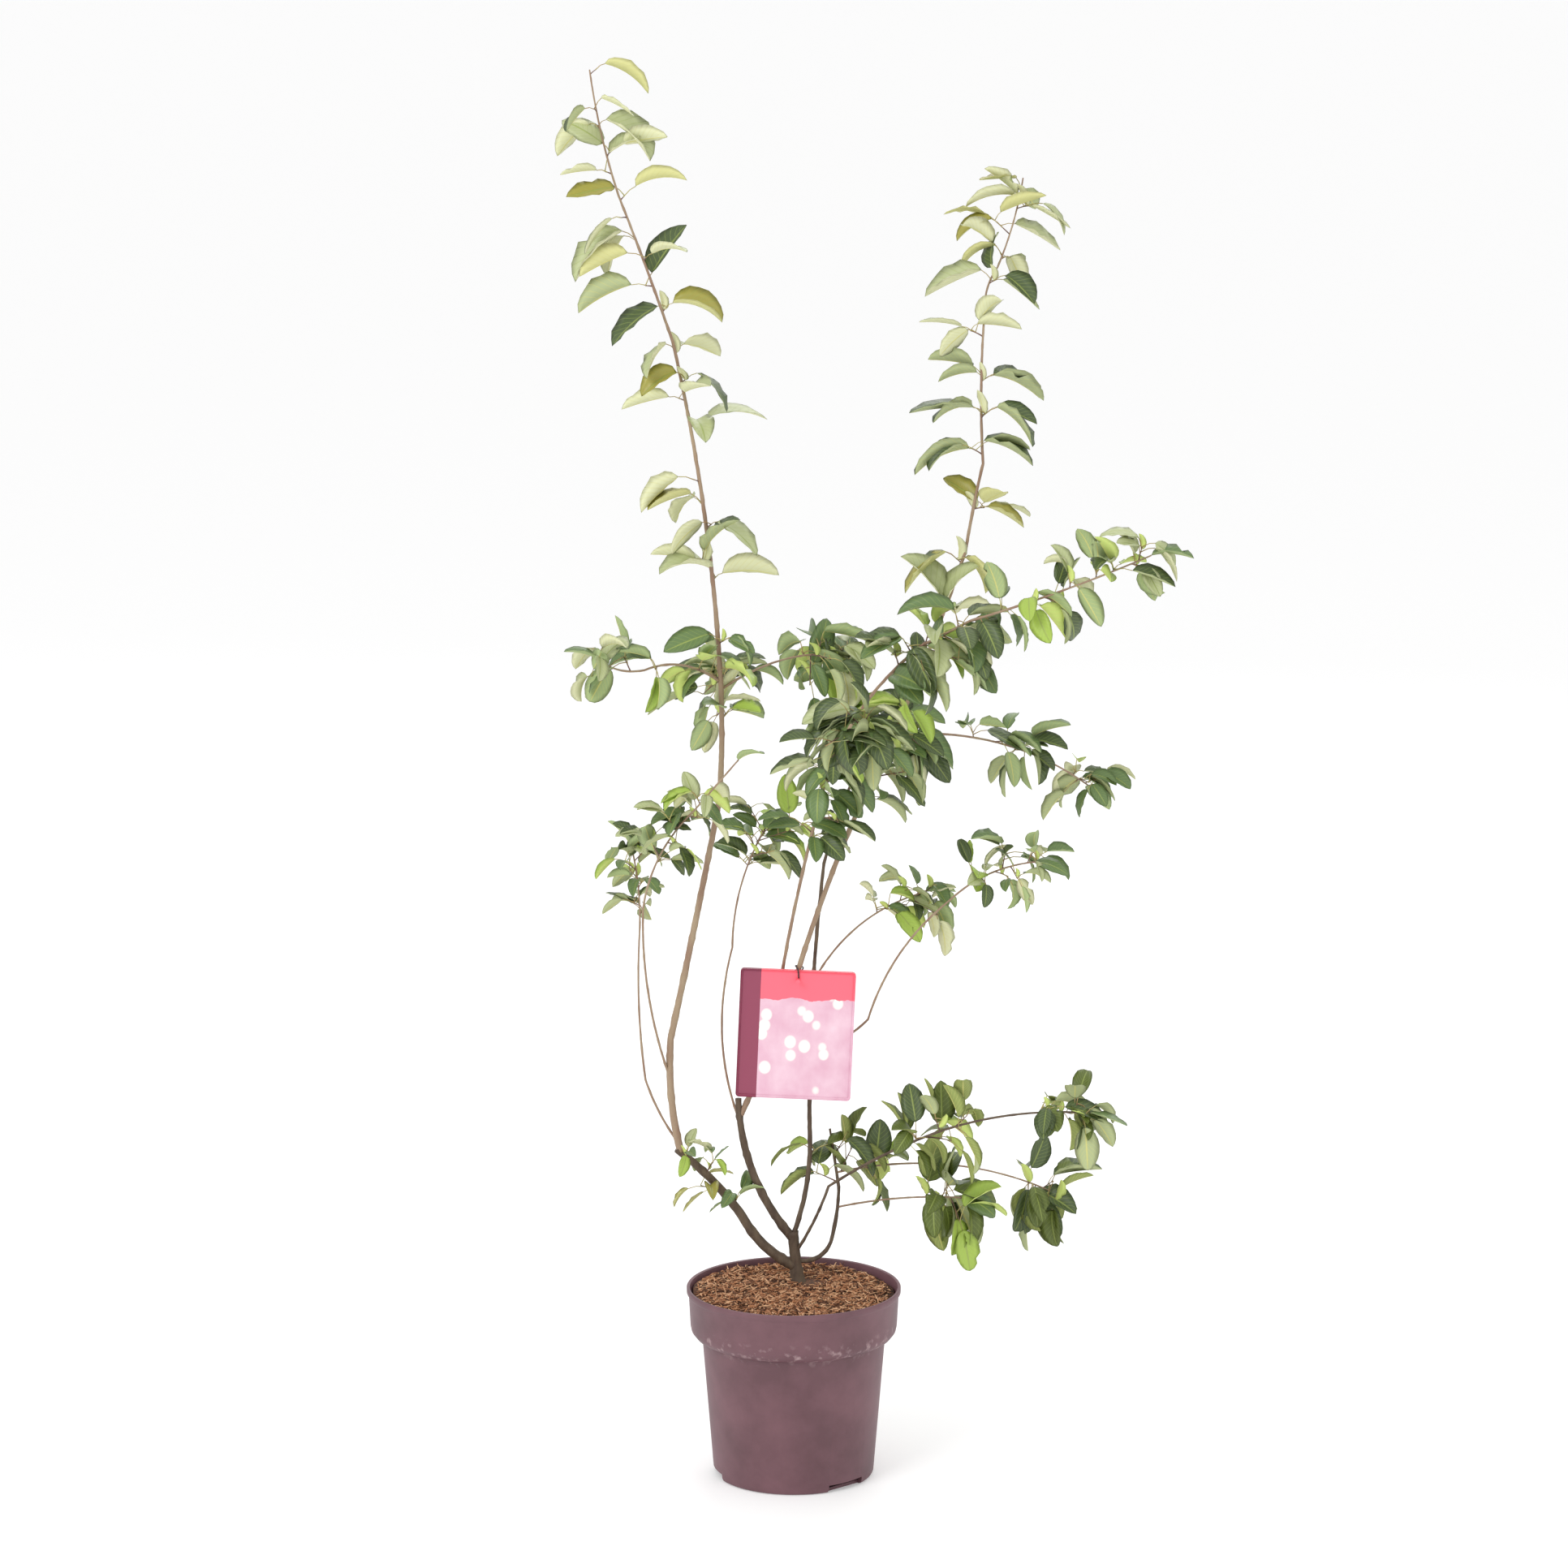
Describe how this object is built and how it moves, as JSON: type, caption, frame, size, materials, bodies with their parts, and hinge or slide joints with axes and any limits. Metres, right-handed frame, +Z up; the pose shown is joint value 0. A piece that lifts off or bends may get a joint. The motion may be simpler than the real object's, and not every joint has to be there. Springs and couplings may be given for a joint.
{
  "type": "potted snowy mespilus",
  "caption": "Young many-stemmed snowy mespilus with open, leafy leaders, standing in a round plum nursery pot of shredded bark, with a hanging picture card.",
  "frame": {"origin": "centre of the pot's flat underside", "axes": "+Z up, +X to the plant's right as it faces the viewer, -Y towards the viewer"},
  "size_m": [0.7064, 0.4865, 1.5674],
  "materials": {
    "pot_plastic": "matte",
    "bark_mulch": "rough",
    "old_bark": "rough",
    "young_bark": "satin",
    "twig_bark": "satin",
    "leaf_green": "satin",
    "leaf_pale": "matte",
    "leaf_olive": "satin",
    "leaf_lime": "satin",
    "leaf_low": "satin",
    "leaf_stalk": "satin",
    "card": "satin",
    "tie": "satin"
  },
  "bodies": {
    "root": {"trunk": "old_bark", "left_stem": "old_bark", "left_leader_lower": "young_bark", "left_leader_upper": "young_bark", "middle_stem": "old_bark", "right_leader_lower": "young_bark", "right_leader_upper": "young_bark", "centre_stem": "young_bark", "upper_right_branch": "young_bark", "right_stem": "old_bark", "outer_left_whip": "young_bark", "inner_left_whip": "young_bark", "centre_whip": "young_bark", "back_right_whip": "young_bark", "front_right_whip": "young_bark", "low_right_bough": "old_bark", "back_shoot": "old_bark", "back_right_shoot": "young_bark", "low_right_shoot": "young_bark", "left_branch": "young_bark", "node_branch": "young_bark", "middle_right_branch": "young_bark", "front_bough": "young_bark", "left_back_bough": "young_bark", "left_tip_leaves": "leaf_green", "left_high_leaves": "leaf_green", "left_upper_leaves": "leaf_green", "left_middle_leaves": "leaf_green", "left_branch_leaves": "leaf_green", "left_node_leaves": "leaf_green", "left_back_leaves": "leaf_green", "low_left_leaves": "leaf_green", "outer_whip_leaves": "leaf_green", "inner_whip_leaves": "leaf_green", "centre_whip_leaves": "leaf_green", "heart_back_leaves": "leaf_green", "heart_top_leaves": "leaf_green", "heart_middle_leaves": "leaf_green", "heart_low_leaves": "leaf_green", "heart_far_leaves": "leaf_green", "heart_near_leaves": "leaf_green", "right_node_leaves": "leaf_green", "right_middle_leaves": "leaf_green", "right_upper_leaves": "leaf_green", "right_tip_leaves": "leaf_green", "upper_branch_leaves": "leaf_green", "upper_branch_end_leaves": "leaf_green", "middle_branch_leaves": "leaf_green", "middle_branch_end_leaves": "leaf_green", "back_whip_leaves": "leaf_green", "front_whip_leaves": "leaf_green", "back_shoot_leaves": "leaf_green", "low_bough_leaves": "leaf_green", "low_bough_end_leaves": "leaf_green", "low_shoot_leaves": "leaf_green", "back_right_leaves": "leaf_green", "pot": "pot_plastic", "root_ball": "bark_mulch", "label_card": "card", "label_tie": "tie"}
  },
  "joints": []
}
